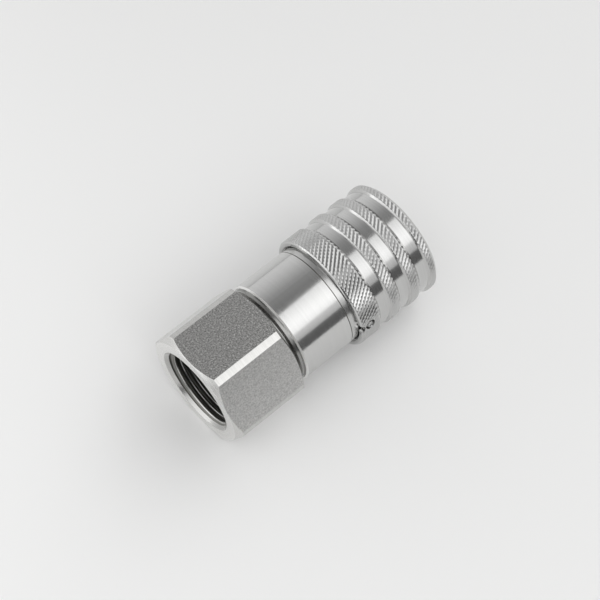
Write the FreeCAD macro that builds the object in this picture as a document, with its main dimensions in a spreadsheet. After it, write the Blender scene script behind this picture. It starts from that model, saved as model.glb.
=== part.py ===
import FreeCAD, Part
import os
import Sketcher

# Socket half of a flat-face hydraulic quick coupling, in millimetres.
# The axis is X: x = 0 is the port face and +X points out of the mating end.
# +Z is up, with one flat of the hexagon upwards and one downwards.

SIZES = [
    # port end
    ("across_flats", 36.0),
    ("corner_rise", 2.13),
    ("face_inset", 0.1),
    ("face_chamfer", 1.54),
    ("hex_length", 24.8),
    ("shoulder_length", 1.3),
    ("shoulder_inset", 0.25),
    ("collar_length", 2.66),
    ("collar_inset", 1.05),
    ("neck_depth", 0.9),
    ("neck_length", 1.1),
    ("neck_slope", 0.6),
    ("port_major_dia", 26.44),
    ("port_mouth_chamfer", 1.0),
    ("port_depth", 17.0),
    # adapter spigot and the guide that sits in it
    ("spigot_length", 12.0),
    ("spigot_wall", 3.0),
    ("spigot_lip", 1.2),
    ("guide_recess", 6.0),
    ("guide_thickness", 3.5),
    ("guide_ledge", 2.2),
    ("flow_hole_dia", 4.0),
    ("flow_hole_circle", 13.2),
    ("flow_hole_count", 6),
    # coupling body
    ("plug_bore_dia", 24.6),
    ("bore_stop", 0.55),
    ("bore_land", 3.1),
    ("spigot_step", 1.35),
    ("body_length", 17.62),
    ("body_edge", 0.5),
    ("body_ledge", 0.35),
    ("line_width", 0.35),
    ("line_depth", 0.3),
    ("band_taper", 0.15),
    ("nose_chamfer", 0.4),
    ("lead_chamfer", 0.5),
    # locking sleeve
    ("sleeve_gap", 2.3),
    ("sleeve_length", 30.52),
    ("sleeve_wall", 2.1),
    ("rear_band", 6.77),
    ("front_band", 2.69),
    ("valley_length", 5.2),
    ("valley_depth", 0.85),
    ("valley_rear_slope", 1.2),
    ("valley_front_slope", 0.62),
    ("rim_bevel_length", 0.48),
    ("rim_bevel_depth", 0.63),
    ("mouth_clearance", 0.15),
    ("mouth_chamfer", 0.5),
    ("mouth_depth", 2.0),
    ("front_bevel_length", 0.9),
    ("front_bevel_depth", 0.9),
    ("skirt_clearance", 0.1),
    ("stop_shoulder", 0.62),
    ("ramp_length", 6.2),
    ("ramp_clearance", 0.13),
    ("land_length", 1.0),
    ("sleeve_stroke", 6.6),
    ("stop_clearance", 0.05),
    # sleeve spring and stop ring
    ("sleeve_spring_space", 1.25),
    ("sleeve_spring_gap", 6.8),
    ("sleeve_wire", 1.0),
    ("sleeve_turns", 5),
    ("nose_recess", 0.24),
    ("ring_lip", 0.75),
    ("ring_thickness", 1.0),
    ("ring_depth", 0.85),
    ("ring_clearance", 0.2),
    ("ring_split", 3.0),
    # locking balls
    ("ball_dia", 4.0),
    ("ball_count", 8),
    ("ball_clearance", 0.05),
    ("ball_travel", 1.0),
    # sleeve lock
    ("lock_ball_dia", 3.0),
    ("lock_offset", 3.32),
    ("notch_inset", 0.38),
    ("lock_angle", 83.0),
    ("lock_clearance", 0.2),
    # sliding valve
    ("face_recess", 0.4),
    ("face_gap", 0.9),
    ("land_overlap", 1.0),
    ("ball_land", 3.5),
    ("valve_wall", 2.2),
    ("valve_relief", 1.0),
    ("valve_throat", 7.0),
    ("throat_taper", 3.0),
    ("flange_length", 4.6),
    ("flange_lip", 0.9),
    ("valve_wire", 1.4),
    ("valve_turns", 5),
    ("wire_clearance", 0.25),
    # fixed stem
    ("stem_head_dia", 15.0),
    ("stem_head_length", 6.4),
    ("stem_taper", 4.6),
    ("stem_neck_dia", 8.4),
    ("stem_tail_dia", 6.0),
    ("tail_end", 1.0),
    ("nut_across_flats", 10.0),
    ("nut_height", 4.0),
    # seals
    ("seal_section", 1.8),
    ("backup_width", 0.9),
    ("plug_seal_wall", 0.65),
    ("stem_seal_width", 2.2),
    ("stem_seal_depth", 1.5),
    ("stem_seal_lip", 2.4),
    # fits
    ("slide_clearance", 0.05),
    ("throat_clearance", 0.1),
    ("seat_clearance", 0.02),
]

VALLEY_COUNT = 3

# A spring's helix is swept in stretches of this many turns
COIL_STRETCH = 0.5

doc = FreeCAD.newDocument("quick_coupling")
sheet = doc.addObject("Spreadsheet::Sheet", "sizes")
for row, (alias, value) in enumerate(SIZES, start=1):
    sheet.set(f"A{row}", alias)
    sheet.set(f"B{row}", str(value))
    sheet.setAlias(f"B{row}", alias)
doc.recompute()


def size(alias):
    return f"sizes.{alias}"


def half(alias):
    return f"({size(alias)} / 2)"


def add(*terms):
    return "(" + " + ".join(terms) + ")"


def less(first, *terms):
    return "(" + " - ".join((first,) + terms) + ")"


def value_of(expression):
    return float(sheet.evalExpression(expression))


# Radii from the plug bore outwards
plug_bore_r = half("plug_bore_dia")
piston_bore_r = add(plug_bore_r, size("bore_stop"))
socket_r = add(piston_bore_r, size("spigot_step"))
ball_r = half("ball_dia")
ball_hole_r = add(ball_r, size("ball_clearance"))
ball_circle_r = add(plug_bore_r, size("ball_clearance"), ball_r)
nose_r = less(add(ball_circle_r, ball_r), size("ball_travel"))
step_r = add(nose_r, size("sleeve_spring_space"))
body_r = add(step_r, size("body_ledge"))
line_r = less(body_r, size("line_depth"))
mouth_r = add(body_r, size("mouth_clearance"))
collar_r = less(body_r, size("collar_inset"))
neck_groove_r = less(collar_r, size("neck_depth"))
skirt_r = add(step_r, size("skirt_clearance"))
ramp_end_r = add(ball_circle_r, ball_r, size("ramp_clearance"))
sleeve_land_r = less(ramp_end_r, size("ball_travel"))
front_bore_r = add(ramp_end_r, size("stop_shoulder"))
sleeve_r = add(front_bore_r, size("sleeve_wall"))
valley_r = less(sleeve_r, size("valley_depth"))
ring_groove_r = less(nose_r, size("ring_depth"))
seal_depth = add(size("seal_section"), size("slide_clearance"))

# Radii inside the bore
spigot_r = less(socket_r, size("seat_clearance"))
guide_seat_r = less(spigot_r, size("spigot_wall"))
guide_r = less(guide_seat_r, size("seat_clearance"))
flow_r = less(guide_seat_r, size("guide_ledge"))
head_r = half("stem_head_dia")
neck_r = half("stem_neck_dia")
tail_r = half("stem_tail_dia")
tail_hole_r = add(tail_r, size("seat_clearance"))
throat_r = add(head_r, size("throat_clearance"))
relief_r = add(throat_r, size("valve_relief"))
valve_waist_r = add(relief_r, size("valve_wall"))
valve_land_r = less(plug_bore_r, size("slide_clearance"))
valve_face_r = less(plug_bore_r, size("face_gap"))
flange_r = less(piston_bore_r, size("slide_clearance"))
port_r = half("port_major_dia")
corner_r = add(half("across_flats"), size("corner_rise"))

# Places along the axis, from the port face forwards
x_collar = add(size("hex_length"), size("shoulder_length"))
x_body = add(x_collar, size("collar_length"))
x_neck = add(x_collar, size("neck_length"))
x_spigot = add(x_body, size("spigot_length"))
x_guide_front = less(x_spigot, size("guide_recess"))
x_guide_rear = less(x_guide_front, size("guide_thickness"))
x_line = add(x_body, size("body_length"))
x_rim = add(x_line, size("sleeve_gap"))
x_mouth = add(x_rim, size("mouth_depth"))
x_ledge = less(x_mouth, size("stop_clearance"))
x_front = add(x_rim, size("sleeve_length"))
x_lock = add(x_rim, size("lock_offset"))

# Places along the axis, from the mating end backwards
x_nose = less(x_front, size("nose_recess"))
x_face = less(x_nose, size("face_recess"))
x_ring_front = less(x_nose, size("ring_lip"))
x_ring_rear = less(x_ring_front, size("ring_thickness"))
x_ball = less(x_ring_rear, size("sleeve_stroke"), size("stop_clearance"))
x_ramp = less(x_ball, size("ramp_length"))
x_sleeve_land = less(x_ramp, size("land_length"))
x_step = less(x_sleeve_land, size("sleeve_spring_gap"))
seal_room = add(size("seal_section"), size("backup_width"), size("slide_clearance"))
x_seal_front = less(x_ball, ball_hole_r, size("plug_seal_wall"))
x_seal_rear = less(x_seal_front, seal_room)
x_bore_stop = less(x_seal_rear, size("bore_land"))
x_flange_front = less(x_bore_stop, size("stop_clearance"))
x_flange_rear = less(x_flange_front, size("flange_length"))
x_land_front = add(x_ball, size("land_overlap"))
x_land_rear = less(x_land_front, size("ball_land"))
x_throat = less(x_face, size("valve_throat"))
x_head = less(x_face, size("stem_head_length"))


def origin_plane(body, role):
    for feature in body.Origin.OriginFeatures:
        if feature.Role == role:
            return feature
    raise ValueError(f"{body.Label} has no {role}")


def new_sketch(body, name, role):
    sketch = body.newObject("Sketcher::SketchObject", name)
    sketch.AttachmentSupport = (origin_plane(body, role), [""])
    sketch.MapMode = "FlatFace"
    return sketch


def place_point(sketch, geometry, position, along, expression, kind, axis):
    """Hold one coordinate of a sketch point: on the axis where it is 0, else at the expression."""
    if expression == "0":
        sketch.addConstraint(Sketcher.Constraint("PointOnObject", geometry, position, axis))
        return
    constraint = Sketcher.Constraint(kind, geometry, position, along)
    index = sketch.addConstraint(constraint)
    sketch.setExpression(f"Constraints[{index}]", expression)


def outline(sketch, corners):
    """Draw a closed polygon whose corners are pairs of expressions."""
    horizontal_axis = -1
    vertical_axis = -2
    start_index = 1
    end_index = 2
    places = [(value_of(across), value_of(upward)) for across, upward in corners]
    count = len(places)
    lines = []
    for index, (across, upward) in enumerate(places):
        next_across, next_upward = places[(index + 1) % count]
        first = FreeCAD.Vector(across, upward, 0)
        second = FreeCAD.Vector(next_across, next_upward, 0)
        lines.append(sketch.addGeometry(Part.LineSegment(first, second), False))
    for index, line in enumerate(lines):
        following = lines[(index + 1) % count]
        sketch.addConstraint(Sketcher.Constraint("Coincident", line, end_index, following, start_index))
    for line, (across, upward), place in zip(lines, corners, places):
        place_point(sketch, line, start_index, place[0], across, "DistanceX", vertical_axis)
        place_point(sketch, line, start_index, place[1], upward, "DistanceY", horizontal_axis)


def round_hole(sketch, across, upward, radius):
    """Draw a circle whose centre and radius are expressions."""
    horizontal_axis = -1
    vertical_axis = -2
    centre_index = 3
    middle = FreeCAD.Vector(value_of(across), value_of(upward), 0)
    upright = FreeCAD.Vector(0, 0, 1)
    circle = sketch.addGeometry(Part.Circle(middle, upright, value_of(radius)), False)
    place_point(sketch, circle, centre_index, middle.x, across, "DistanceX", vertical_axis)
    place_point(sketch, circle, centre_index, middle.y, upward, "DistanceY", horizontal_axis)
    index = sketch.addConstraint(Sketcher.Constraint("Radius", circle, value_of(radius)))
    sketch.setExpression(f"Constraints[{index}]", radius)


def turned(label, corners):
    """A piece turned about X from an outline of (x, radius) corners."""
    body = doc.addObject("PartDesign::Body", label)
    sketch = new_sketch(body, f"{label}_profile", "XZ_Plane")
    outline(sketch, corners)
    turn = body.newObject("PartDesign::Revolution", f"{label}_turn")
    turn.Profile = sketch
    turn.ReferenceAxis = (sketch, ["H_Axis"])
    turn.Angle = 360
    doc.recompute()
    return body


def pocket(body, sketch, length):
    """Cut a sketch along its own normal, and make sure that it took material away."""
    before = body.Shape.Volume
    cut = body.newObject("PartDesign::Pocket", f"{sketch.Name}_cut")
    cut.Profile = sketch
    cut.Type = "Length"
    cut.setExpression("Length", length)
    cut.Reversed = True
    doc.recompute()
    if body.Shape.Volume >= before:
        raise ValueError(f"{cut.Name} cut nothing")
    return cut


def around_axis(body, feature, count):
    """Repeat a feature evenly around X."""
    pattern = body.newObject("PartDesign::PolarPattern", f"{feature.Name}_pattern")
    pattern.Originals = [feature]
    pattern.Axis = (origin_plane(body, "X_Axis"), [""])
    pattern.Angle = 360
    pattern.setExpression("Occurrences", count)
    body.Tip = pattern
    doc.recompute()


def place(piece, x, radius="0", angle="0"):
    """Bind a piece's place: x along the axis, and a radius at an angle from +Z towards -Y."""
    piece.setExpression("Placement.Base.x", x)
    piece.setExpression("Placement.Base.y", f"-{radius} * sin({angle})")
    piece.setExpression("Placement.Base.z", f"{radius} * cos({angle})")


def lay_along_axis(piece):
    """Turn a primitive's own Z to X."""
    piece.Placement.Rotation = FreeCAD.Rotation(FreeCAD.Vector(0, 1, 0), 90)


def drill(name, radius, height, x, start_radius, angle):
    """A radial cutter, from start_radius outwards."""
    cutter = doc.addObject("Part::Cylinder", name)
    cutter.setExpression("Radius", radius)
    cutter.setExpression("Height", height)
    cutter.Placement.Rotation = FreeCAD.Rotation(FreeCAD.Vector(1, 0, 0), value_of(angle))
    cutter.setExpression("Placement.Rotation.Angle", angle)
    place(cutter, x, start_radius, angle)
    return cutter


def fused(name, cutters):
    """Several cutters as one."""
    tools = doc.addObject("Part::MultiFuse", name)
    tools.Shapes = cutters
    return tools


def cut_from(label, blank, cutter):
    """Take a cutter away from a blank, and make sure that it took material away."""
    piece = doc.addObject("Part::Cut", label)
    piece.Base = blank
    piece.Tool = cutter
    doc.recompute()
    if piece.Shape.Volume >= blank.Shape.Volume:
        raise ValueError(f"{label}: the cutter misses the blank")
    return piece


def ring(label, x_rear, x_front_face, inner, outer):
    """A plain square-section ring."""
    return turned(label, [(x_rear, inner), (x_front_face, inner), (x_front_face, outer), (x_rear, outer)])


def seal_ring(label, x_middle, inner):
    """A round-section seal whose inside has the given radius."""
    seal = doc.addObject("Part::Torus", label)
    seal.setExpression("Radius1", add(inner, half("seal_section")))
    seal.setExpression("Radius2", half("seal_section"))
    lay_along_axis(seal)
    place(seal, x_middle)
    return seal


def coil_spring(label, x_start, x_end, mean_radius, wire, turns):
    """A round-wire compression spring between two seats."""
    coil = doc.addObject("Part::Helix", f"{label}_coil")
    coil.setExpression("Radius", mean_radius)
    coil.setExpression("Height", less(x_end, x_start, wire))
    coil.setExpression("Pitch", f"({less(x_end, x_start, wire)} / {turns})")
    coil.SegmentLength = COIL_STRETCH
    lay_along_axis(coil)
    place(coil, add(x_start, f"{wire} / 2"))
    section = doc.addObject("Part::Circle", f"{label}_wire")
    section.setExpression("Radius", f"{wire} / 2")
    section.Placement.Rotation = FreeCAD.Rotation(FreeCAD.Vector(1, 0, 0), -90)
    place(section, add(x_start, f"{wire} / 2"), mean_radius, "180")
    doc.recompute()
    spring = doc.addObject("Part::Sweep", label)
    spring.Sections = [section]
    spring.Spine = (coil, [f"Edge{number}" for number in range(1, len(coil.Shape.Edges) + 1)])
    spring.Solid = True
    spring.Frenet = True
    doc.recompute()
    return spring


def hex_adapter():
    """Hexagon end with the female port and a grooved neck; its spigot screws into the body."""
    x_groove_front = less(x_spigot, size("spigot_lip"))
    x_groove_rear = less(x_groove_front, seal_room)
    groove_r = less(socket_r, seal_depth)
    port_mouth_r = add(port_r, size("port_mouth_chamfer"))
    face_r = less(half("across_flats"), size("face_inset"))
    body = turned("hex_adapter", [
        ("0", port_mouth_r),
        ("0", face_r),
        (size("face_chamfer"), corner_r),
        (size("hex_length"), corner_r),
        (x_collar, less(half("across_flats"), size("shoulder_inset"))),
        (x_collar, neck_groove_r),
        (x_neck, neck_groove_r),
        (add(x_neck, size("neck_slope")), collar_r),
        (x_body, collar_r),
        (x_body, spigot_r),
        (x_groove_rear, spigot_r),
        (x_groove_rear, groove_r),
        (x_groove_front, groove_r),
        (x_groove_front, spigot_r),
        (x_spigot, spigot_r),
        (x_spigot, guide_seat_r),
        (x_guide_rear, guide_seat_r),
        (x_guide_rear, flow_r),
        (size("port_depth"), flow_r),
        (size("port_depth"), port_r),
        (size("port_mouth_chamfer"), port_r),
    ])
    flats = new_sketch(body, "hexagon_flats", "YZ_Plane")
    reach = half("across_flats")
    corner = f"({size('across_flats')} / sqrt(3))"
    shoulder = f"({corner} / 2)"
    outline(flats, [
        (corner, "0"),
        (shoulder, reach),
        (f"-{shoulder}", reach),
        (f"-{corner}", "0"),
        (f"-{shoulder}", f"-{reach}"),
        (shoulder, f"-{reach}"),
    ])
    round_hole(flats, "0", "0", add(corner_r, size("corner_rise")))
    pocket(body, flats, x_collar)
    return body


def coupling_body():
    """Turned body: adapter socket, valve bore, ball holes, stop ring groove and lock ball seat."""
    seal_groove_r = add(plug_bore_r, seal_depth)
    blank = turned("coupling_body_blank", [
        (x_body, socket_r),
        (x_body, less(body_r, size("body_edge"))),
        (add(x_body, size("body_edge")), body_r),
        (x_line, body_r),
        (x_line, line_r),
        (add(x_line, size("line_width")), line_r),
        (add(x_line, size("line_width")), less(body_r, size("band_taper"))),
        (x_ledge, body_r),
        (x_ledge, step_r),
        (x_step, step_r),
        (x_step, nose_r),
        (x_ring_rear, nose_r),
        (x_ring_rear, ring_groove_r),
        (x_ring_front, ring_groove_r),
        (x_ring_front, nose_r),
        (less(x_nose, size("nose_chamfer")), nose_r),
        (x_nose, less(nose_r, size("nose_chamfer"))),
        (x_nose, add(plug_bore_r, size("lead_chamfer"))),
        (less(x_nose, size("lead_chamfer")), plug_bore_r),
        (x_seal_front, plug_bore_r),
        (x_seal_front, seal_groove_r),
        (x_seal_rear, seal_groove_r),
        (x_seal_rear, plug_bore_r),
        (x_bore_stop, plug_bore_r),
        (x_bore_stop, piston_bore_r),
        (x_spigot, piston_bore_r),
        (x_spigot, socket_r),
    ])
    hole = new_sketch(blank, "ball_hole", "XY_Plane")
    round_hole(hole, x_ball, "0", ball_hole_r)
    cut = pocket(blank, hole, body_r)
    around_axis(blank, cut, size("ball_count"))
    seat_r = add(half("lock_ball_dia"), size("seat_clearance"))
    seat_bottom_r = less(step_r, half("lock_ball_dia"))
    seat = drill("lock_seat", seat_r, sleeve_r, x_lock, seat_bottom_r, size("lock_angle"))
    return cut_from("coupling_body", blank, seat)


def locking_sleeve():
    """Sleeve with four gripping bands, a ball ramp inside, and the lock ball's hole, notch and groove."""
    ends = add(size("rear_band"), size("front_band"))
    valleys = f"{VALLEY_COUNT} * {size('valley_length')}"
    middle_band = f"({less(size('sleeve_length'), ends, valleys)} / {VALLEY_COUNT - 1})"
    bands = []
    for index in range(VALLEY_COUNT):
        pitch = f"{index} * ({size('valley_length')} + {middle_band})"
        x_valley = add(x_rim, size("rear_band"), pitch)
        x_valley_end = add(x_valley, size("valley_length"))
        bands += [
            (x_valley, sleeve_r),
            (add(x_valley, size("valley_rear_slope")), valley_r),
            (less(x_valley_end, size("valley_front_slope")), valley_r),
            (x_valley_end, sleeve_r),
        ]
    blank = turned("locking_sleeve_blank", [
        (x_rim, add(mouth_r, size("mouth_chamfer"))),
        (x_rim, less(sleeve_r, size("rim_bevel_depth"))),
        (add(x_rim, size("rim_bevel_length")), sleeve_r),
        *bands,
        (less(x_front, size("front_bevel_length")), sleeve_r),
        (x_front, less(sleeve_r, size("front_bevel_depth"))),
        (x_front, front_bore_r),
        (x_ball, front_bore_r),
        (x_ball, ramp_end_r),
        (x_ramp, sleeve_land_r),
        (x_sleeve_land, sleeve_land_r),
        (x_sleeve_land, skirt_r),
        (x_mouth, skirt_r),
        (x_mouth, mouth_r),
        (add(x_rim, size("mouth_chamfer")), mouth_r),
    ])
    cutter_r = add(half("lock_ball_dia"), size("lock_clearance"))
    angle = size("lock_angle")
    reach = add(sleeve_r, ball_r)
    lock_hole = drill("lock_hole", cutter_r, reach, x_lock, "0", angle)
    rim_notch = drill("rim_notch", cutter_r, reach, less(x_rim, size("notch_inset")), "0", angle)
    groove = doc.addObject("Part::Cylinder", "lock_groove")
    groove.setExpression("Radius", cutter_r)
    groove.setExpression("Height", size("lock_offset"))
    lay_along_axis(groove)
    place(groove, x_rim, step_r, angle)
    lock_cutter = fused("lock_cutter", [lock_hole, rim_notch, groove])
    return cut_from("locking_sleeve", blank, lock_cutter)


def sleeve_stop_ring():
    """Split ring in the nose groove, which stops the sleeve at the end of its stroke."""
    inner = add(ring_groove_r, size("seat_clearance"))
    outer = less(front_bore_r, size("ring_clearance"))
    rear = add(x_ring_rear, size("seat_clearance"))
    front = less(x_ring_front, size("seat_clearance"))
    body = ring("sleeve_stop_ring", rear, front, inner, outer)
    split = new_sketch(body, "ring_split_gap", "YZ_Plane")
    side = half("ring_split")
    outline(split, [
        (side, "0"),
        (side, f"-{front_bore_r}"),
        (f"-{side}", f"-{front_bore_r}"),
        (f"-{side}", "0"),
    ])
    pocket(body, split, x_front)
    return body


def valve_sleeve():
    """Sliding valve: its throat closes on the stem's head and its land holds the balls out."""
    groove_r = less(piston_bore_r, seal_depth)
    x_groove_front = less(x_flange_front, size("flange_lip"))
    x_groove_rear = less(x_groove_front, seal_room)
    return turned("valve_sleeve", [
        (x_face, throat_r),
        (x_face, valve_face_r),
        (x_land_front, valve_land_r),
        (x_land_rear, valve_land_r),
        (x_land_rear, valve_waist_r),
        (x_flange_front, valve_waist_r),
        (x_flange_front, flange_r),
        (x_groove_front, flange_r),
        (x_groove_front, groove_r),
        (x_groove_rear, groove_r),
        (x_groove_rear, flange_r),
        (x_flange_rear, flange_r),
        (x_flange_rear, relief_r),
        (less(x_throat, size("throat_taper")), relief_r),
        (x_throat, throat_r),
    ])


def valve_stem():
    """Fixed stem: flat head at the mating face, neck, and a tail through the guide."""
    x_tail = less(x_guide_rear, size("nut_height"), size("tail_end"))
    x_groove_front = less(x_face, size("stem_seal_lip"))
    x_groove_rear = less(x_groove_front, size("stem_seal_width"))
    groove_r = less(head_r, size("stem_seal_depth"))
    return turned("valve_stem", [
        (x_tail, "0"),
        (x_tail, tail_r),
        (x_guide_front, tail_r),
        (x_guide_front, neck_r),
        (less(x_head, size("stem_taper")), neck_r),
        (x_head, head_r),
        (x_groove_rear, head_r),
        (x_groove_rear, groove_r),
        (x_groove_front, groove_r),
        (x_groove_front, head_r),
        (x_face, head_r),
        (x_face, "0"),
    ])


def stem_guide():
    """Drilled disc that carries the stem and lets the fluid through."""
    body = ring("stem_guide", x_guide_rear, x_guide_front, tail_hole_r, guide_r)
    hole = new_sketch(body, "flow_hole", "YZ_Plane")
    round_hole(hole, "0", half("flow_hole_circle"), half("flow_hole_dia"))
    cut = pocket(body, hole, x_spigot)
    around_axis(body, cut, size("flow_hole_count"))
    return body


def stem_nut():
    """Hexagon nut on the stem's tail."""
    x_nut = less(x_guide_rear, size("nut_height"))
    blank = doc.addObject("Part::Prism", "stem_nut_blank")
    blank.Polygon = 6
    blank.setExpression("Circumradius", f"{size('nut_across_flats')} / sqrt(3)")
    blank.setExpression("Height", size("nut_height"))
    hole = doc.addObject("Part::Cylinder", "stem_nut_hole")
    hole.setExpression("Radius", tail_hole_r)
    hole.setExpression("Height", size("nut_height"))
    for piece in (blank, hole):
        lay_along_axis(piece)
        place(piece, x_nut)
    doc.recompute()
    return cut_from("stem_nut", blank, hole)


def seals():
    """Each groove's round seal, and the backup ring beside it on the low-pressure side."""
    gap = size("seat_clearance")
    section = half("seal_section")
    width = size("backup_width")
    adapter_rear = less(x_spigot, size("spigot_lip"), seal_room)
    valve_rear = less(x_flange_front, size("flange_lip"), seal_room)
    grooves = {
        "adapter": (adapter_rear, less(socket_r, seal_depth), socket_r),
        "valve": (valve_rear, less(piston_bore_r, seal_depth), flange_r),
        "plug": (x_seal_rear, add(plug_bore_r, gap), add(plug_bore_r, seal_depth)),
    }
    made = []
    for name, (rear, inner, outer) in grooves.items():
        made.append(seal_ring(f"{name}_seal", add(rear, gap, section), add(inner, gap)))
        ring_rear = add(rear, gap, size("seal_section"))
        made.append(ring(
            f"{name}_backup_ring", ring_rear, add(ring_rear, width), add(inner, gap), less(outer, gap),
        ))
    stem_front = less(x_face, size("stem_seal_lip"), gap)
    stem_rear = add(less(x_face, size("stem_seal_lip"), size("stem_seal_width")), gap)
    stem_inner = add(less(head_r, size("stem_seal_depth")), gap)
    made.append(ring("stem_seal", stem_rear, stem_front, stem_inner, add(head_r, size("slide_clearance"))))
    return made


def balls():
    """The locking balls around the nose, and the sleeve lock's ball in the body."""
    made = []
    count = int(value_of(size("ball_count")))
    for index in range(count):
        ball = doc.addObject("Part::Sphere", f"locking_ball_{index + 1}")
        ball.setExpression("Radius", ball_r)
        place(ball, x_ball, ball_circle_r, f"({index} * 360 / {size('ball_count')})")
        made.append(ball)
    lock_ball = doc.addObject("Part::Sphere", "sleeve_lock_ball")
    lock_ball.setExpression("Radius", half("lock_ball_dia"))
    place(lock_ball, x_lock, step_r, size("lock_angle"))
    made.append(lock_ball)
    return made


def springs():
    """The sleeve's spring around the nose, and the valve's spring in the adapter's spigot."""
    sleeve_mean_r = f"({nose_r} + {skirt_r}) / 2"
    valve_mean_r = less(guide_seat_r, size("wire_clearance"), half("valve_wire"))
    gap = size("seat_clearance")
    return [
        coil_spring(
            "sleeve_spring", add(x_step, gap), less(x_sleeve_land, gap),
            f"({sleeve_mean_r})", size("sleeve_wire"), size("sleeve_turns"),
        ),
        coil_spring(
            "valve_spring", add(x_guide_front, gap), less(x_flange_rear, gap),
            valve_mean_r, size("valve_wire"), size("valve_turns"),
        ),
    ]


pieces = [
    hex_adapter(),
    coupling_body(),
    locking_sleeve(),
    sleeve_stop_ring(),
    valve_sleeve(),
    valve_stem(),
    stem_guide(),
    stem_nut(),
    *seals(),
    *balls(),
    *springs(),
]
doc.recompute()

for item in doc.Objects:
    if "Invalid" in item.State or "Error" in item.State:
        raise ValueError(f"{item.Name} failed: {item.State}")

os.makedirs("parts", exist_ok=True)
for piece in pieces:
    shape = piece.Shape
    if shape.isNull() or not shape.isValid() or len(shape.Solids) != 1:
        raise ValueError(f"{piece.Label} is not one valid solid")

for piece in pieces:
    piece.Shape.exportStep(os.path.join("parts", f"{piece.Label}.step"))
    box = piece.Shape.optimalBoundingBox(False)
    print(f"{piece.Label}: volume {piece.Shape.Volume:.1f}, x {box.XMin:.2f} to {box.XMax:.2f}")
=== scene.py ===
import math

import bmesh
import bpy
import numpy as np
from mathutils import Matrix, Vector


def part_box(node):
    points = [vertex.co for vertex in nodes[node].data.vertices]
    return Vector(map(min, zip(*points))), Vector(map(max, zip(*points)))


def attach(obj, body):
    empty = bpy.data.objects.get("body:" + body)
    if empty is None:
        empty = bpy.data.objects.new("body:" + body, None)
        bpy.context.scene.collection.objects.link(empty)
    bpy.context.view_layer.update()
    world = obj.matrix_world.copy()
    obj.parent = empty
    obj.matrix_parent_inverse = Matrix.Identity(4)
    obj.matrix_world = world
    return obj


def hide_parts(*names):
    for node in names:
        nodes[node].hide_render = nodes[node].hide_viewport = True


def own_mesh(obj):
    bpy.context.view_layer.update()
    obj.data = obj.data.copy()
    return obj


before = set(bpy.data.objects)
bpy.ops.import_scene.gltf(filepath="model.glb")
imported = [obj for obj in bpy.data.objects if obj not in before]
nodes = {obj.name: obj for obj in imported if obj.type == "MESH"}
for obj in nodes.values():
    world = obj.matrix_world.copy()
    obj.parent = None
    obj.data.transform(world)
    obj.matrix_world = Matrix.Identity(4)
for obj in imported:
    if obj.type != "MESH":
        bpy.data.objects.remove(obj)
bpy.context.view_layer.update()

scene = bpy.context.scene

# Lengths below are in millimetres, as in the part's source; MM turns them into metres.
MM = 0.001

# Locking sleeve, whose ends and outside come from the part itself
sleeve_low, sleeve_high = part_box("locking_sleeve")
RIM_X = sleeve_low.x / MM
FRONT_X = sleeve_high.x / MM
SLEEVE_R = sleeve_high.z / MM
RIM_R = 18.57
RIM_BEVEL = 0.48
FRONT_R = 18.3
FRONT_BEVEL = 0.9
REAR_BAND = 6.77
VALLEY_PITCH = 7.93
VALLEY_LENGTH = 5.2
VALLEY_REAR_SLOPE = 1.2
VALLEY_FRONT_SLOPE = 0.62
VALLEY_R = 18.35
VALLEY_COUNT = 3
MOUTH_R = 17.1
MOUTH_CHAMFER = 0.5
MOUTH_LENGTH = 2.0
MOUTH_X = RIM_X + MOUTH_LENGTH
SKIRT_R = 16.7
LAND_R = 15.48
LAND_X = 63.36
RAMP_LENGTH = 1.0
RAMP_X = LAND_X + RAMP_LENGTH
RAMP_END_R = LAND_R + RAMP_LENGTH
BALL_X = 70.56
FRONT_BORE_R = 17.1
SLEEVE_SHARP_ANGLE = 18

# Diamond knurl, one family of grooves deeper than the other; each pitch is so many cells of the mesh
KNURL_STARTS = 74
KNURL_PITCH = 1.7
KNURL_DEPTH = 0.21
KNURL_CROSS_DEPTH = 0.09
KNURL_CELLS = 6
KNURL_RUN_OUT = (0.5, 1.0)
ROW_CLEARANCE = 0.04

# Lock ball's hole and rim notch, and the height of the prisms that cut them
LOCK_ANGLE = math.radians(83)
LOCK_X = 52.0
NOTCH_X = 48.3
LOCK_HOLE_R = 1.7
LOCK_CENTRE_R = 16.6
GROOVE_OVERLAP = 1
CUTTER_LOW = 12
CUTTER_HIGH = 24

# Port and its thread, whose ridge runs in and out over parts of a turn
PORT_R = 13.22
PORT_CHAMFER = 1.0
PORT_MOUTH_R = PORT_R + PORT_CHAMFER
PORT_END = 17.1
THREAD_PITCH = 1.814
THREAD_START = 0.8
THREAD_START_TURN = 0.16
THREAD_END = 15.6
THREAD_STEPS = 120
THREAD_RUN_IN = 0.25
THREAD_RUN_OUT = 0.5
THREAD_SEAT = 0.03
THREAD_ROOT_R = PORT_R + THREAD_SEAT
THREAD_CREST_R = 12.06
THREAD_SHARP_ANGLE = 25

# Half of the thread ridge's outline: how far along the axis from the ridge's middle, and the radius
THREAD_HALF = ((0.75, THREAD_ROOT_R), (0.66, 13.08), (0.18, 12.12), (0.08, THREAD_CREST_R))
THREAD_SIDES = 2 * len(THREAD_HALF)

# The sides of the ridge that keep the adapter's plain steel, counted from its side at the mouth; the others
# get painted shade.
THREAD_CREST_SIDES = (2, 3)

# Hexagon, neck and body
HEX_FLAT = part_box("hex_adapter")[1].z / MM
HEX_CHAMFER = 2.5
NECK_X = 25.9
NECK_R = 16.0
BODY_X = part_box("coupling_body")[0].x / MM
BODY_EDGE = 0.5
LINE_X = 46.38
LINE_WIDTH = 0.35
LINE_R = 16.65

# How near a face has to lie to a named place to count as being on it
NEAR = 0.01
NEAR_RADIUS = 0.1

# The share of a face's normal along an axis from which the face leans that way, or faces it
LEANING = 0.2
FACING = 0.9

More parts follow.
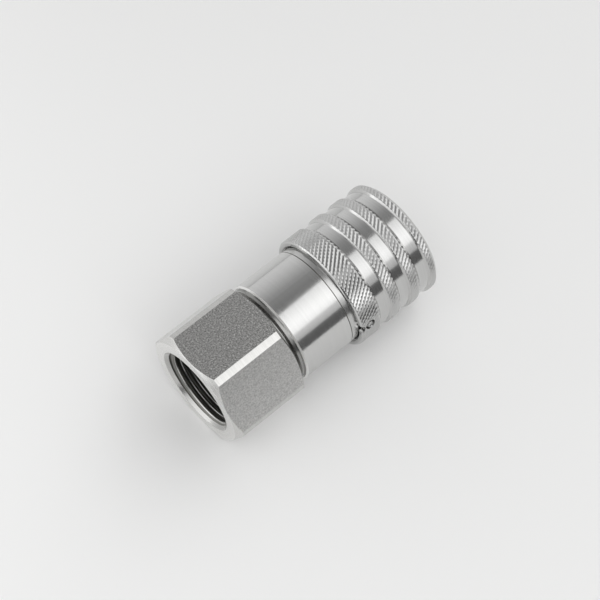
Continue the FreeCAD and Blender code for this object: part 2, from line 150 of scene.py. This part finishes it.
# The part's middle; it rests on the hexagon's lower edge and the sleeve's rear band.
MIDDLE_X = 39
FLOOR_Z = -HEX_FLAT
FLOOR_SLOPE = (HEX_FLAT - SLEEVE_R) / (RIM_X + RIM_BEVEL)
FLOOR_SIDE = 700
FLOOR_FRONT = 150
FLOOR_BACK = 900

# Camera, from the photograph's outlines: the point that it looks at, and where it stands around that point
CAMERA_AIM = (42.96, 2.54, 0)
CAMERA_AZIMUTH = math.radians(233.109)
CAMERA_ELEVATION = math.radians(59.753)
CAMERA_ROLL = math.radians(-4.992)
CAMERA_DISTANCE = 564.89
CAMERA_LENS = 113.22
CAMERA_SENSOR = 36
CAMERA_CLIP = 10

UPWARD = Vector((0, 0, 1))
ALONG = Vector((1, 0, 0))


def around(x, radius, angle):
    """A point at an angle from +Z towards -Y, in metres."""
    return (x * MM, -radius * math.sin(angle) * MM, radius * math.cos(angle) * MM)


def new_object(name, vertices, faces):
    """An object in the scene with a mesh of its own."""
    mesh = bpy.data.meshes.new(name)
    mesh.from_pydata(vertices, [], faces)
    mesh.update()
    made = bpy.data.objects.new(name, mesh)
    scene.collection.objects.link(made)
    return made


def shade(piece, angle):
    """Smooth shading with edges sharper than the angle kept."""
    mesh = piece.data
    mesh.polygons.foreach_set("use_smooth", [True] * len(mesh.polygons))
    mesh.set_sharp_from_angle(angle=math.radians(angle))


def turn_outwards(mesh):
    """Point all faces of a closed mesh outwards."""
    made = bmesh.new()
    made.from_mesh(mesh)
    bmesh.ops.recalc_face_normals(made, faces=made.faces)
    made.to_mesh(mesh)
    made.free()


def out_from_axis(point):
    """How far a point of a mesh lies from the part's axis, in millimetres."""
    return math.hypot(point.y, point.z) / MM


def dress(mesh, finishes, finish_of):
    """Give each face of a mesh the one of the finishes that a function picks for it."""
    mesh.materials.clear()
    for finish in finishes:
        mesh.materials.append(finish)
    for face in mesh.polygons:
        face.material_index = finishes.index(finish_of(face))


# Materials

# The part of a noise texture's range that holds most of its values
NOISE_LOW = 0.3
NOISE_HIGH = 0.7


def steel(name, color, roughness):
    """A metal shader with its nodes, and the part's own coordinates in millimetres."""
    material = bpy.data.materials.new(name)
    material.use_nodes = True
    tree = material.node_tree
    shader = tree.nodes["Principled BSDF"]
    shader.inputs["Base Color"].default_value = (*color, 1)
    shader.inputs["Metallic"].default_value = 1
    shader.inputs["Roughness"].default_value = roughness
    place = tree.nodes.new("ShaderNodeTexCoord")
    scale = tree.nodes.new("ShaderNodeVectorMath")
    scale.operation = "SCALE"
    scale.inputs["Scale"].default_value = 1 / MM
    tree.links.new(place.outputs["Object"], scale.inputs[0])
    return material, tree, shader, scale.outputs["Vector"]


def noise(tree, vector, scale, detail):
    """A noise value over the given coordinates."""
    texture = tree.nodes.new("ShaderNodeTexNoise")
    texture.inputs["Scale"].default_value = scale
    texture.inputs["Detail"].default_value = detail
    tree.links.new(vector, texture.inputs["Vector"])
    return texture.outputs["Fac"]


def span(tree, value, low, high):
    """Spread a noise value over a range."""
    change = tree.nodes.new("ShaderNodeMapRange")
    change.inputs["From Min"].default_value = NOISE_LOW
    change.inputs["From Max"].default_value = NOISE_HIGH
    change.inputs["To Min"].default_value = low
    change.inputs["To Max"].default_value = high
    tree.links.new(value, change.inputs["Value"])
    return change.outputs["Result"]


def shades(tree, value, shader, dark, light):
    """Vary the colour between two tones."""
    ramp = tree.nodes.new("ShaderNodeValToRGB")
    low, high = ramp.color_ramp.elements
    low.position = NOISE_LOW
    low.color = (*dark, 1)
    high.position = NOISE_HIGH
    high.color = (*light, 1)
    tree.links.new(value, ramp.inputs["Fac"])
    tree.links.new(ramp.outputs["Color"], shader.inputs["Base Color"])


def bump(tree, value, shader, depth, strength):
    """Raise the surface by a noise value; the depth is in millimetres."""
    relief = tree.nodes.new("ShaderNodeBump")
    relief.inputs["Distance"].default_value = depth * MM
    relief.inputs["Strength"].default_value = strength
    tree.links.new(value, relief.inputs["Height"])
    tree.links.new(relief.outputs["Normal"], shader.inputs["Normal"])


def turning_lines(tree, vector):
    """The place along the axis and out from it, so that marks run around the part."""
    parts = tree.nodes.new("ShaderNodeSeparateXYZ")
    tree.links.new(vector, parts.inputs["Vector"])
    flat = tree.nodes.new("ShaderNodeCombineXYZ")
    tree.links.new(parts.outputs["Y"], flat.inputs["X"])
    tree.links.new(parts.outputs["Z"], flat.inputs["Y"])
    out = tree.nodes.new("ShaderNodeVectorMath")
    out.operation = "LENGTH"
    tree.links.new(flat.outputs["Vector"], out.inputs[0])
    joined = tree.nodes.new("ShaderNodeCombineXYZ")
    tree.links.new(parts.outputs["X"], joined.inputs["X"])
    tree.links.new(out.outputs["Value"], joined.inputs["Y"])
    return joined.outputs["Vector"]


def turned_steel(name, dark, light, rough_low, rough_high, line_depth):
    """Turned steel: fine lines around the axis, and a slow change of tone and gloss."""
    material, tree, shader, vector = steel(name, light, rough_low)
    lines = turning_lines(tree, vector)
    fine = noise(tree, lines, scale=9.0, detail=3)
    bands = noise(tree, lines, scale=1.6, detail=4)
    shades(tree, bands, shader, dark, light)
    tree.links.new(span(tree, fine, rough_low, rough_high), shader.inputs["Roughness"])
    bump(tree, fine, shader, line_depth, strength=0.5)
    return material


def grained_steel(name, dark, light, roughness, grain_depth):
    """Rolled steel left as it came: a coarse grain with finer and finer grain on it."""
    material, tree, shader, vector = steel(name, light, roughness)
    grain = noise(tree, vector, scale=2.0, detail=7)
    shades(tree, grain, shader, dark, light)
    bump(tree, grain, shader, grain_depth, strength=1.0)
    return material


def moulded(name, dark, light, roughness):
    """Rubber or plastic with a fine moulded grain."""
    material, tree, shader, vector = steel(name, light, roughness)
    shader.inputs["Metallic"].default_value = 0
    grain = noise(tree, vector, scale=4.0, detail=2)
    shades(tree, grain, shader, dark, light)
    bump(tree, grain, shader, depth=0.02, strength=0.6)
    return material


body_steel = turned_steel("body_steel", (0.58, 0.58, 0.574), (0.61, 0.61, 0.604), 0.10, 0.18, 0.004)
adapter_steel = turned_steel("adapter_steel", (0.54, 0.538, 0.525), (0.61, 0.607, 0.594), 0.16, 0.26, 0.006)
# Painted highlight: a lighter copy of the adapter's steel for the port face.
face_highlight_steel = turned_steel("face_highlight_steel", (0.78, 0.778, 0.764), (0.86, 0.857, 0.843), 0.20, 0.30, 0.006)
# Painted highlight: a lighter, rougher copy of the adapter's steel for the hexagon's front chamfer.
bevel_highlight_steel = turned_steel("bevel_highlight_steel", (0.62, 0.618, 0.606), (0.70, 0.697, 0.684), 0.20, 0.30, 0.006)
flat_steel = grained_steel("flat_steel", (0.49, 0.488, 0.48), (0.80, 0.796, 0.784), 0.36, 0.07)
# Painted shade: a darker copy of the flats' grained steel, with coarser grain, for the flat that faces up.
pitted_and_shade_steel = grained_steel("pitted_and_shade_steel", (0.26, 0.258, 0.25), (0.75, 0.746, 0.732), 0.27, 0.10)
ledge_steel = turned_steel("ledge_steel", (0.54, 0.54, 0.533), (0.58, 0.58, 0.573), 0.18, 0.24, 0.004)
# Painted highlight: a much lighter, rougher copy of the body's steel for its rear chamfer.
edge_highlight_steel = turned_steel("edge_highlight_steel", (0.80, 0.80, 0.79), (0.88, 0.88, 0.87), 0.42, 0.52, 0.004)
# Painted shade: a dark copy of the adapter's steel for the neck between hexagon and body.
neck_shade_steel = turned_steel("neck_shade_steel", (0.28, 0.279, 0.27), (0.36, 0.358, 0.35), 0.16, 0.26, 0.006)
# Painted shade: a dark copy of steel for the port's inside, the thread's flanks and the body's turned line.
recess_shade_steel = turned_steel("recess_shade_steel", (0.17, 0.168, 0.155), (0.27, 0.267, 0.25), 0.32, 0.45, 0.01)
sleeve_steel = turned_steel("sleeve_steel", (0.54, 0.54, 0.535), (0.59, 0.59, 0.585), 0.11, 0.17, 0.004)
knurl_steel = turned_steel("knurl_steel", (0.46, 0.46, 0.455), (0.52, 0.52, 0.515), 0.16, 0.24, 0.004)
dull_knurl_steel = turned_steel(
    "dull_knurl_steel", (0.51, 0.51, 0.505), (0.57, 0.57, 0.565), 0.30, 0.38, 0.004,
)
valve_steel = turned_steel("valve_steel", (0.56, 0.56, 0.55), (0.63, 0.63, 0.62), 0.14, 0.24, 0.005)
ball_steel = turned_steel("ball_steel", (0.62, 0.62, 0.62), (0.68, 0.68, 0.68), 0.05, 0.10, 0.001)
spring_steel = turned_steel("spring_steel", (0.44, 0.44, 0.43), (0.55, 0.55, 0.54), 0.22, 0.34, 0.003)
seal_rubber = moulded("seal_rubber", (0.012, 0.012, 0.012), (0.025, 0.025, 0.024), 0.55)
backup_plastic = moulded("backup_plastic", (0.74, 0.74, 0.71), (0.82, 0.82, 0.79), 0.45)

NODE_MATERIALS = {
    "hex_adapter": adapter_steel,
    "coupling_body": body_steel,
    "locking_sleeve": sleeve_steel,
    "sleeve_stop_ring": spring_steel,
    "sleeve_spring": spring_steel,
    "valve_spring": spring_steel,
    "sleeve_lock_ball": ball_steel,
}


def node_material(name):
    """The material of a node, by its name or by what it ends or starts with."""
    if name in NODE_MATERIALS:
        return NODE_MATERIALS[name]
    if name.startswith("locking_ball"):
        return ball_steel
    if name.endswith("_backup_ring"):
        return backup_plastic
    if name.endswith("_seal"):
        return seal_rubber
    return valve_steel


for name, node in nodes.items():
    node.data.materials.clear()
    node.data.materials.append(node_material(name))


def adapter_material(face):
    """The material of one face of the adapter: ends, flats, neck or port, with a painted highlight on the
    port face and front chamfer and painted shade on the upper flat, neck and port.
    """
    x = face.center.x / MM
    radius = out_from_axis(face.center)
    along = face.normal.x
    on_flat = abs(face.center.dot(face.normal) / MM - HEX_FLAT) < NEAR
    if on_flat and abs(along) < NEAR:
        # The flat that faces up gets painted shade.
        return pitted_and_shade_steel if face.normal.z > FACING else flat_steel
    if PORT_CHAMFER < x < PORT_END and radius < PORT_R + NEAR_RADIUS:
        # Painted shade inside the port.
        return recess_shade_steel
    if NECK_X < x < BODY_X and radius < NECK_R and along < FACING:
        # Painted shade in the neck.
        return neck_shade_steel
    if along < -FACING and x < NEAR:
        # Painted highlight on the port face.
        return face_highlight_steel
    if along < -LEANING and x < HEX_CHAMFER and radius > PORT_MOUTH_R:
        # Painted highlight on the hexagon's front chamfer.
        return bevel_highlight_steel
    return adapter_steel


def body_material(face):
    """The material of one face of the body: painted shade in the turned line, a painted highlight on the
    rear edge, a dull band by the sleeve.
    """
    x = face.center.x / MM
    radius = out_from_axis(face.center)
    along = face.normal.x
    line_end = LINE_X + LINE_WIDTH
    if LINE_X - NEAR < x < line_end + NEAR and -NEAR_RADIUS / 2 < radius - LINE_R < NEAR_RADIUS:
        # Painted shade in the turned line.
        return recess_shade_steel
    if x < BODY_X + BODY_EDGE and -FACING < along < -LEANING and radius > NECK_R:
        # Painted highlight on the rear chamfer.
        return edge_highlight_steel
    if x > line_end and abs(along) < LEANING and radius > LINE_R + NEAR_RADIUS:
        return ledge_steel
    return body_steel


dress(
    nodes["hex_adapter"].data,
    [adapter_steel, face_highlight_steel, bevel_highlight_steel, flat_steel, pitted_and_shade_steel, neck_shade_steel, recess_shade_steel],
    adapter_material,
)
dress(nodes["coupling_body"].data, [body_steel, recess_shade_steel, edge_highlight_steel, ledge_steel], body_material)


# Locking sleeve with its knurl

def knurl_relief(x, angle):
    """How far the knurl lies below the sleeve's outside: 0 at a diamond's top."""
    turn = angle * KNURL_STARTS / (2 * math.pi)
    along = (x - RIM_X) / KNURL_PITCH
    relief = 0
    for family, depth in ((turn + along, KNURL_DEPTH), (turn - along, KNURL_CROSS_DEPTH)):
        nearest = np.abs(family - np.round(family))
        relief = np.maximum(relief, depth * (1 - 2 * nearest))
    return relief


def sleeve_outside():
    """The outside's corners, from the rear rim to the front edge."""
    corners = [(RIM_X, RIM_R), (RIM_X + RIM_BEVEL, SLEEVE_R)]
    for index in range(VALLEY_COUNT):
        start = RIM_X + REAR_BAND + index * VALLEY_PITCH
        end = start + VALLEY_LENGTH
        corners.append((start, SLEEVE_R))
        corners.append((start + VALLEY_REAR_SLOPE, VALLEY_R))
        corners.append((end - VALLEY_FRONT_SLOPE, VALLEY_R))
        corners.append((end, SLEEVE_R))
    corners.append((FRONT_X - FRONT_BEVEL, SLEEVE_R))
    corners.append((FRONT_X, FRONT_R))
    return corners


def sleeve_rows(corners):
    """Places along the outside, each with True if it is on the knurl's own grid.

    The others are the outside's corners and where the knurl runs out on a slope.
    """
    xs = [x for x, radius in corners]
    radii = [radius for x, radius in corners]
    fixed = set(xs)
    for (x0, r0), (x1, r1) in zip(corners, corners[1:]):
        if r0 == r1:
            continue
        for depth in KNURL_RUN_OUT:
            share = (SLEEVE_R - depth * KNURL_DEPTH - r0) / (r1 - r0)
            if 0 < share < 1:
                fixed.add(x0 + share * (x1 - x0))
    step = KNURL_PITCH / KNURL_CELLS
    count = int((FRONT_X - RIM_X) / step)
    grid = []
    for index in range(1, count + 1):
        x = RIM_X + index * step
        on_band = np.interp(x, xs, radii) > SLEEVE_R - KNURL_DEPTH
        clear = min(abs(x - other) for other in fixed) > ROW_CLEARANCE
        if on_band and clear:
            grid.append(x)
    return sorted([(x, False) for x in fixed] + [(x, True) for x in grid])


def sleeve_mesh():
    """Rings of points around the sleeve, outside and inside; a knurl cell is four triangles."""
    corners = sleeve_outside()
    xs = [x for x, radius in corners]
    radii = [radius for x, radius in corners]
    rows = sleeve_rows(corners)
    columns = KNURL_STARTS * KNURL_CELLS
    angles = np.arange(columns) * 2 * math.pi / columns
    half_turn = math.pi / columns
    step = KNURL_PITCH / KNURL_CELLS
    points = []
    faces = []

    def add_ring(x, ring_radii, ring_angles):
        first = len(points)
        for radius, angle in zip(ring_radii, ring_angles):
            points.append(around(x, radius, angle))
        return first

    def outside_radius(x, ring_angles):
        plain = np.interp(x, xs, radii)
        return np.minimum(plain, SLEEVE_R - knurl_relief(x, ring_angles))

    rings = [add_ring(x, outside_radius(x, angles), angles) for x, on_grid in rows]
    inside = [
        (FRONT_X, FRONT_BORE_R),
        (BALL_X, FRONT_BORE_R),
        (BALL_X, RAMP_END_R),
        (RAMP_X, LAND_R),
        (LAND_X, LAND_R),
        (LAND_X, SKIRT_R),
        (MOUTH_X, SKIRT_R),
        (MOUTH_X, MOUTH_R),
        (RIM_X + MOUTH_CHAMFER, MOUTH_R),
        (RIM_X, MOUTH_R + MOUTH_CHAMFER),
    ]
    for x, radius in inside:
        rings.append(add_ring(x, np.full(columns, radius), angles))
    for index, ring in enumerate(rings):
        following = rings[(index + 1) % len(rings)]
        centre = None
        if index + 1 < len(rows):
            x0, grid0 = rows[index]
            x1, grid1 = rows[index + 1]
            if grid0 and grid1 and abs(x1 - x0 - step) < NEAR * step:
                middle = (x0 + x1) / 2
                centre = add_ring(middle, outside_radius(middle, angles + half_turn), angles + half_turn)
        for column in range(columns):
            beside = (column + 1) % columns
            quad = (ring + column, ring + beside, following + beside, following + column)
            if centre is None:
                faces.append(quad)
                continue
            for side in range(4):
                faces.append((quad[side], quad[(side + 1) % 4], centre + column))
    return points, faces


def cutter(name, outline, low, high, axes):
    """A closed prism: an outline in the first two axes, from low to high along the third."""
    across, upward, along = (Vector(axis) for axis in axes)
    count = len(outline)
    points = []
    for height in (low, high):
        for a, b in outline:
            points.append((across * a + upward * b + along * height) * MM)
    faces = [tuple(reversed(range(count))), tuple(range(count, 2 * count))]
    for index in range(count):
        beside = (index + 1) % count
        faces.append((index, beside, count + beside, count + index))
    return new_object(name, points, faces)


def circle(x, y, radius, count=48):
    """Points around a circle."""
    angles = [2 * math.pi * step / count for step in range(count)]
    return [(x + radius * math.cos(angle), y + radius * math.sin(angle)) for angle in angles]


lock_out = Vector((0, -math.sin(LOCK_ANGLE), math.cos(LOCK_ANGLE)))
lock_side = lock_out.cross(ALONG)
cross_axes = (ALONG, lock_side, lock_out)
long_axes = (lock_side, lock_out, ALONG)
groove_start = RIM_X - GROOVE_OVERLAP
hole = cutter("lock_hole_cutter", circle(LOCK_X, 0, LOCK_HOLE_R), CUTTER_LOW, CUTTER_HIGH, cross_axes)
notch = cutter("notch_cutter", circle(NOTCH_X, 0, LOCK_HOLE_R), CUTTER_LOW, CUTTER_HIGH, cross_axes)
groove = cutter("groove_cutter", circle(0, LOCK_CENTRE_R, LOCK_HOLE_R), groove_start, LOCK_X, long_axes)

blank = new_object("knurled_sleeve_blank", *sleeve_mesh())
for tool in (hole, notch, groove):
    turn_outwards(tool.data)
    cut = blank.modifiers.new(tool.name, "BOOLEAN")
    cut.operation = "DIFFERENCE"
    cut.solver = "MANIFOLD"
    cut.object = tool
bpy.context.view_layer.update()
depsgraph = bpy.context.evaluated_depsgraph_get()
sleeve_data = bpy.data.meshes.new_from_object(blank.evaluated_get(depsgraph))
sleeve_data.name = "knurled_sleeve"
sleeve = bpy.data.objects.new("knurled_sleeve", sleeve_data)
scene.collection.objects.link(sleeve)
for used in (blank, hole, notch, groove):
    bpy.data.objects.remove(used)


def sleeve_finish(face):
    """The finish of one face of the sleeve: knurled bands, the narrow ones duller, or plain."""
    if out_from_axis(face.center) < SLEEVE_R - KNURL_DEPTH - 2 * NEAR:
        return sleeve_steel
    on_rear_band = face.center.x / MM < RIM_X + REAR_BAND + VALLEY_LENGTH / 2
    return knurl_steel if on_rear_band else dull_knurl_steel


dress(sleeve_data, [sleeve_steel, knurl_steel, dull_knurl_steel], sleeve_finish)
shade(sleeve, SLEEVE_SHARP_ANGLE)
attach(sleeve, "sleeve")
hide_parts("locking_sleeve")


# Port thread

def thread_mesh():
    """A right-handed ridge on the port's wall, cut back by the mouth's chamfer and run out at both ends."""
    profile = [(-offset, radius) for offset, radius in THREAD_HALF]
    profile += [(offset, radius) for offset, radius in reversed(THREAD_HALF)]
    turns = (THREAD_END - THREAD_START) / THREAD_PITCH
    steps = int(turns * THREAD_STEPS)
    points = []
    faces = []
    for step in range(steps + 1):
        turn = step / THREAD_STEPS
        x = THREAD_START + turn * THREAD_PITCH
        share = min(1, turn / THREAD_RUN_IN, (steps - step) / THREAD_STEPS / THREAD_RUN_OUT)
        angle = 2 * math.pi * (turn + THREAD_START_TURN)
        for offset, radius in profile:
            place = x + offset
            radius = THREAD_ROOT_R - (THREAD_ROOT_R - radius) * share
            radius = max(radius, PORT_MOUTH_R + THREAD_SEAT - place)
            points.append((place * MM, radius * math.cos(angle) * MM, radius * math.sin(angle) * MM))
    for step in range(steps):
        first = step * THREAD_SIDES
        following = first + THREAD_SIDES
        for index in range(THREAD_SIDES):
            beside = (index + 1) % THREAD_SIDES
            faces.append((first + index, first + beside, following + beside, following + index))
    faces.append(tuple(range(THREAD_SIDES)))
    faces.append(tuple(steps * THREAD_SIDES + index for index in reversed(range(THREAD_SIDES))))
    return points, faces


def thread_material(face):
    """The material of one face of the ridge: the adapter's steel on the crest and the flank beside it,
    painted shade elsewhere.
    """
    on_crest = face.index % THREAD_SIDES in THREAD_CREST_SIDES and len(face.vertices) == 4
    # The crest keeps the adapter's steel; the other sides get painted shade.
    return adapter_steel if on_crest else recess_shade_steel


thread = new_object("port_thread_ridge", *thread_mesh())
dress(thread.data, [recess_shade_steel, adapter_steel], thread_material)
turn_outwards(thread.data)
shade(thread, THREAD_SHARP_ANGLE)
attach(thread, "housing")


# Valve spring, as a copy with a mesh of its own on the housing
spring_data = nodes["valve_spring"].data.copy()
spring_data.name = "valve_spring_coil"
spring = bpy.data.objects.new("valve_spring_coil", spring_data)
scene.collection.objects.link(spring)
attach(spring, "housing")
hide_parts("valve_spring")
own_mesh(spring)


# Floor, light and camera

# The camera's axes: towards it, and the picture's right and up after the roll
towards_camera = Vector((
    math.cos(CAMERA_ELEVATION) * math.cos(CAMERA_AZIMUTH),
    math.cos(CAMERA_ELEVATION) * math.sin(CAMERA_AZIMUTH),
    math.sin(CAMERA_ELEVATION),
))
plain_right = Vector((-math.sin(CAMERA_AZIMUTH), math.cos(CAMERA_AZIMUTH), 0))
plain_up = towards_camera.cross(plain_right)
picture_right = plain_right * math.cos(CAMERA_ROLL) + plain_up * math.sin(CAMERA_ROLL)
picture_up = plain_up * math.cos(CAMERA_ROLL) - plain_right * math.sin(CAMERA_ROLL)

# The picture's right and its back, level; the place that floor and lamps are laid out from
LEVEL_RIGHT = Vector((picture_right.x, picture_right.y, 0)).normalized()
LEVEL_BACK = UPWARD.cross(LEVEL_RIGHT)
MIDDLE = ALONG * MIDDLE_X * MM


def floor_corner(across, back):
    """A point of the floor, which slopes with the part's resting line."""
    place = MIDDLE + (LEVEL_RIGHT * across + LEVEL_BACK * back) * MM
    return (place.x, place.y, FLOOR_Z * MM + FLOOR_SLOPE * place.x)


floor = new_object(
    "floor",
    [
        floor_corner(-FLOOR_SIDE, -FLOOR_FRONT),
        floor_corner(FLOOR_SIDE, -FLOOR_FRONT),
        floor_corner(FLOOR_SIDE, FLOOR_BACK),
        floor_corner(-FLOOR_SIDE, FLOOR_BACK),
    ],
    [(0, 1, 2, 3)],
)
floor_paper = bpy.data.materials.new("floor_paper")
floor_paper.use_nodes = True
paper = floor_paper.node_tree.nodes["Principled BSDF"]
paper.inputs["Base Color"].default_value = (0.91, 0.91, 0.905, 1)
paper.inputs["Roughness"].default_value = 0.9
paper.inputs["Specular IOR Level"].default_value = 0.1
floor.data.materials.append(floor_paper)


def degrees_share(degrees):
    """An angle's place in the range from -90 to 90 degrees."""
    return (degrees + 90) / 180


def tone_ramp(tree, value, stops):
    """A grey ramp; each stop is a position, a level and how much it covers what lies under it."""
    ramp = tree.nodes.new("ShaderNodeValToRGB")
    tree.links.new(value, ramp.inputs["Fac"])
    tones = ramp.color_ramp.elements
    while len(tones) < len(stops):
        tones.new(0.5)
    for tone, (position, level, cover) in zip(tones, stops):
        tone.position = position
        tone.color = (level, level, level, cover)
    return ramp


def dot(tree, vector, axis):
    """How far a direction points along an axis."""
    product = tree.nodes.new("ShaderNodeVectorMath")
    product.operation = "DOT_PRODUCT"
    product.inputs[1].default_value = axis
    tree.links.new(vector, product.inputs[0])
    return product.outputs["Value"]


def remap(tree, value, low, high):
    """A value's place in a range, from 0 to 1."""
    share = tree.nodes.new("ShaderNodeMapRange")
    share.inputs["From Min"].default_value = low
    share.inputs["From Max"].default_value = high
    tree.links.new(value, share.inputs["Value"])
    return share.outputs["Result"]


def mix(tree, factor, under, over):
    """Lay a colour, or a plain grey level, over another colour by a factor."""
    blend = tree.nodes.new("ShaderNodeMix")
    blend.data_type = "RGBA"
    tree.links.new(factor, blend.inputs["Factor"])
    tree.links.new(under, blend.inputs["A"])
    if isinstance(over, float):
        blend.inputs["B"].default_value = (over, over, over, 1)
    else:
        tree.links.new(over, blend.inputs["B"])
    return blend.outputs["Result"]


def times(tree, first, second):
    """The product of two values."""
    product = tree.nodes.new("ShaderNodeMath")
    product.operation = "MULTIPLY"
    tree.links.new(first, product.inputs[0])
    tree.links.new(second, product.inputs[1])
    return product.outputs["Value"]


STUDIO_LEVEL = 1.13
OPENING_LEVEL = 0.12
BACKDROP_LEVEL = 0.6
OPENING_SIDE = Vector((-0.906, -0.423, 0))

# Tones of the back wall by how far a direction points back, and of the right wall by its lean to the right
BACK_WALL = [
    (0.0, 0.28, 1),
    (0.62, 0.22, 1),
    (0.77, 0.33, 1),
    (0.865, 0.52, 1),
    (0.935, 0.69, 1),
    (1.0, 0.9, 1),
]
RIGHT_WALL = [
    (degrees_share(11), 0.34, 0),
    (degrees_share(17), 0.20, 1),
    (degrees_share(21.6), 0.22, 1),
    (degrees_share(32), 0.44, 1),
    (degrees_share(41), 0.53, 1),
    (degrees_share(50.7), 0.40, 1),
    (degrees_share(57.8), 0.22, 1),
    (degrees_share(69), 0.08, 1),
    (degrees_share(72), 0.14, 1),
    (degrees_share(90), 0.12, 1),
]

# A studio with a pale back wall, a grey wall on the right and a low, dark opening in front
world = bpy.data.worlds.new("studio")
scene.world = world
world.use_nodes = True
tree = world.node_tree
sky = tree.nodes["Background"]
direction = tree.nodes.new("ShaderNodeTexCoord").outputs["Generated"]
right_share = dot(tree, direction, LEVEL_RIGHT)
back_share = dot(tree, direction, LEVEL_BACK)
up_share = dot(tree, direction, UPWARD)
lean = tree.nodes.new("ShaderNodeMath")
lean.operation = "ARCTAN2"
tree.links.new(right_share, lean.inputs[0])
tree.links.new(up_share, lean.inputs[1])
wall = tone_ramp(tree, remap(tree, back_share, -1, 1), BACK_WALL)
sides = tone_ramp(tree, remap(tree, lean.outputs["Value"], -math.pi / 2, math.pi / 2), RIGHT_WALL)
short_of_back = tone_ramp(tree, remap(tree, back_share, -1, 1), [(0.76, 1.0, 1), (0.88, 0.0, 1)])
side_cover = times(tree, sides.outputs["Alpha"], short_of_back.outputs["Color"])
studio = mix(tree, side_cover, wall.outputs["Color"], sides.outputs["Color"])
front_share = dot(tree, direction, OPENING_SIDE)
front = tone_ramp(tree, remap(tree, front_share, -1, 1), [(0.9, 0.0, 1), (0.94, 1.0, 1)])
low = tone_ramp(tree, remap(tree, up_share, -1, 1), [(0.63, 1.0, 1), (0.67, 0.0, 1)])
opening = times(tree, front.outputs["Color"], low.outputs["Color"])
studio = mix(tree, opening, studio, OPENING_LEVEL)
path = tree.nodes.new("ShaderNodeLightPath")
studio = mix(tree, path.outputs["Is Camera Ray"], studio, BACKDROP_LEVEL)
tree.links.new(studio, sky.inputs["Color"])
sky.inputs["Strength"].default_value = STUDIO_LEVEL


def soft_lamp(name, place, away, along, size, radiance, spread=180):
    """A rectangular lamp that faces back along the away direction, its first side along a level one."""
    length, height = (side * MM for side in size)
    lamp_data = bpy.data.lights.new(name, "AREA")
    lamp_data.shape = "RECTANGLE"
    lamp_data.size = length
    lamp_data.size_y = height
    lamp_data.energy = radiance * math.pi * length * height
    lamp_data.spread = math.radians(spread)
    lamp = bpy.data.objects.new(name, lamp_data)
    scene.collection.objects.link(lamp)
    turn = Matrix((along, away.cross(along), away)).transposed().to_4x4()
    lamp.matrix_world = Matrix.Translation(MIDDLE + place * MM) @ turn


# A large softbox on the right, dimmer in the strip at its foot
SOFTBOX_LEAN = math.radians(43.7)
SOFTBOX_AWAY = 700
SOFTBOX_BACK = 75
SOFTBOX_LENGTH = 1950
SOFTBOX_HALF = 353
SOFTBOX_STEP = 130
SOFTBOX_STRIPS = (
    ("softbox", -SOFTBOX_HALF, SOFTBOX_STEP, 0.92),
    ("softbox_foot", SOFTBOX_STEP, SOFTBOX_HALF, 0.52),
)
right_away = LEVEL_RIGHT * math.sin(SOFTBOX_LEAN) + UPWARD * math.cos(SOFTBOX_LEAN)
right_down = LEVEL_RIGHT * math.cos(SOFTBOX_LEAN) - UPWARD * math.sin(SOFTBOX_LEAN)
softbox_place = right_away * SOFTBOX_AWAY + LEVEL_BACK * SOFTBOX_BACK
for name, top, foot, radiance in SOFTBOX_STRIPS:
    strip_place = softbox_place + right_down * (top + foot) / 2
    strip_size = (SOFTBOX_LENGTH, foot - top)
    soft_lamp(name, strip_place, right_away, LEVEL_BACK, strip_size, radiance * STUDIO_LEVEL)

# A weaker lamp over the camera
TOP_LEAN = math.radians(26)
TOP_AWAY = 700
TOP_LEFT = 280
TOP_SIZE = (836, 875)
TOP_RADIANCE = 0.6
top_away = UPWARD * math.cos(TOP_LEAN) - LEVEL_BACK * math.sin(TOP_LEAN)
top_place = top_away * TOP_AWAY - LEVEL_RIGHT * TOP_LEFT
soft_lamp("top_lamp", top_place, top_away, LEVEL_RIGHT, TOP_SIZE, TOP_RADIANCE)

# A low lamp close by on the left, with a narrower spread so that the floor beside it does not turn white
LEFT_UP = 48
LEFT_AWAY = 220
LEFT_FRONT = 30
LEFT_SIZE = (480, 134)
LEFT_RADIANCE = 0.74
LEFT_SPREAD = 150
left_place = UPWARD * LEFT_UP - LEVEL_RIGHT * LEFT_AWAY - LEVEL_BACK * LEFT_FRONT
soft_lamp("left_lamp", left_place, -LEVEL_RIGHT, LEVEL_BACK, LEFT_SIZE, LEFT_RADIANCE, LEFT_SPREAD)

# A lamp in front
FRONT_LEAN = math.radians(50)
FRONT_AWAY = 900
FRONT_RIGHT = 150
FRONT_SIZE = (650, 450)
FRONT_RADIANCE = 1.15
front_away = UPWARD * math.cos(FRONT_LEAN) - LEVEL_BACK * math.sin(FRONT_LEAN)
front_place = front_away * FRONT_AWAY + LEVEL_RIGHT * FRONT_RIGHT
soft_lamp("front_lamp", front_place, front_away, LEVEL_RIGHT, FRONT_SIZE, FRONT_RADIANCE)

camera_data = bpy.data.cameras.new("camera")
camera_data.lens = CAMERA_LENS
camera_data.sensor_width = CAMERA_SENSOR
camera_data.clip_start = CAMERA_CLIP * MM
camera = bpy.data.objects.new("camera", camera_data)
scene.collection.objects.link(camera)
camera_place = (Vector(CAMERA_AIM) + towards_camera * CAMERA_DISTANCE) * MM
camera_turn = Matrix((picture_right, picture_up, towards_camera)).transposed().to_4x4()
camera.matrix_world = Matrix.Translation(camera_place) @ camera_turn
scene.camera = camera

scene.view_settings.view_transform = "Standard"
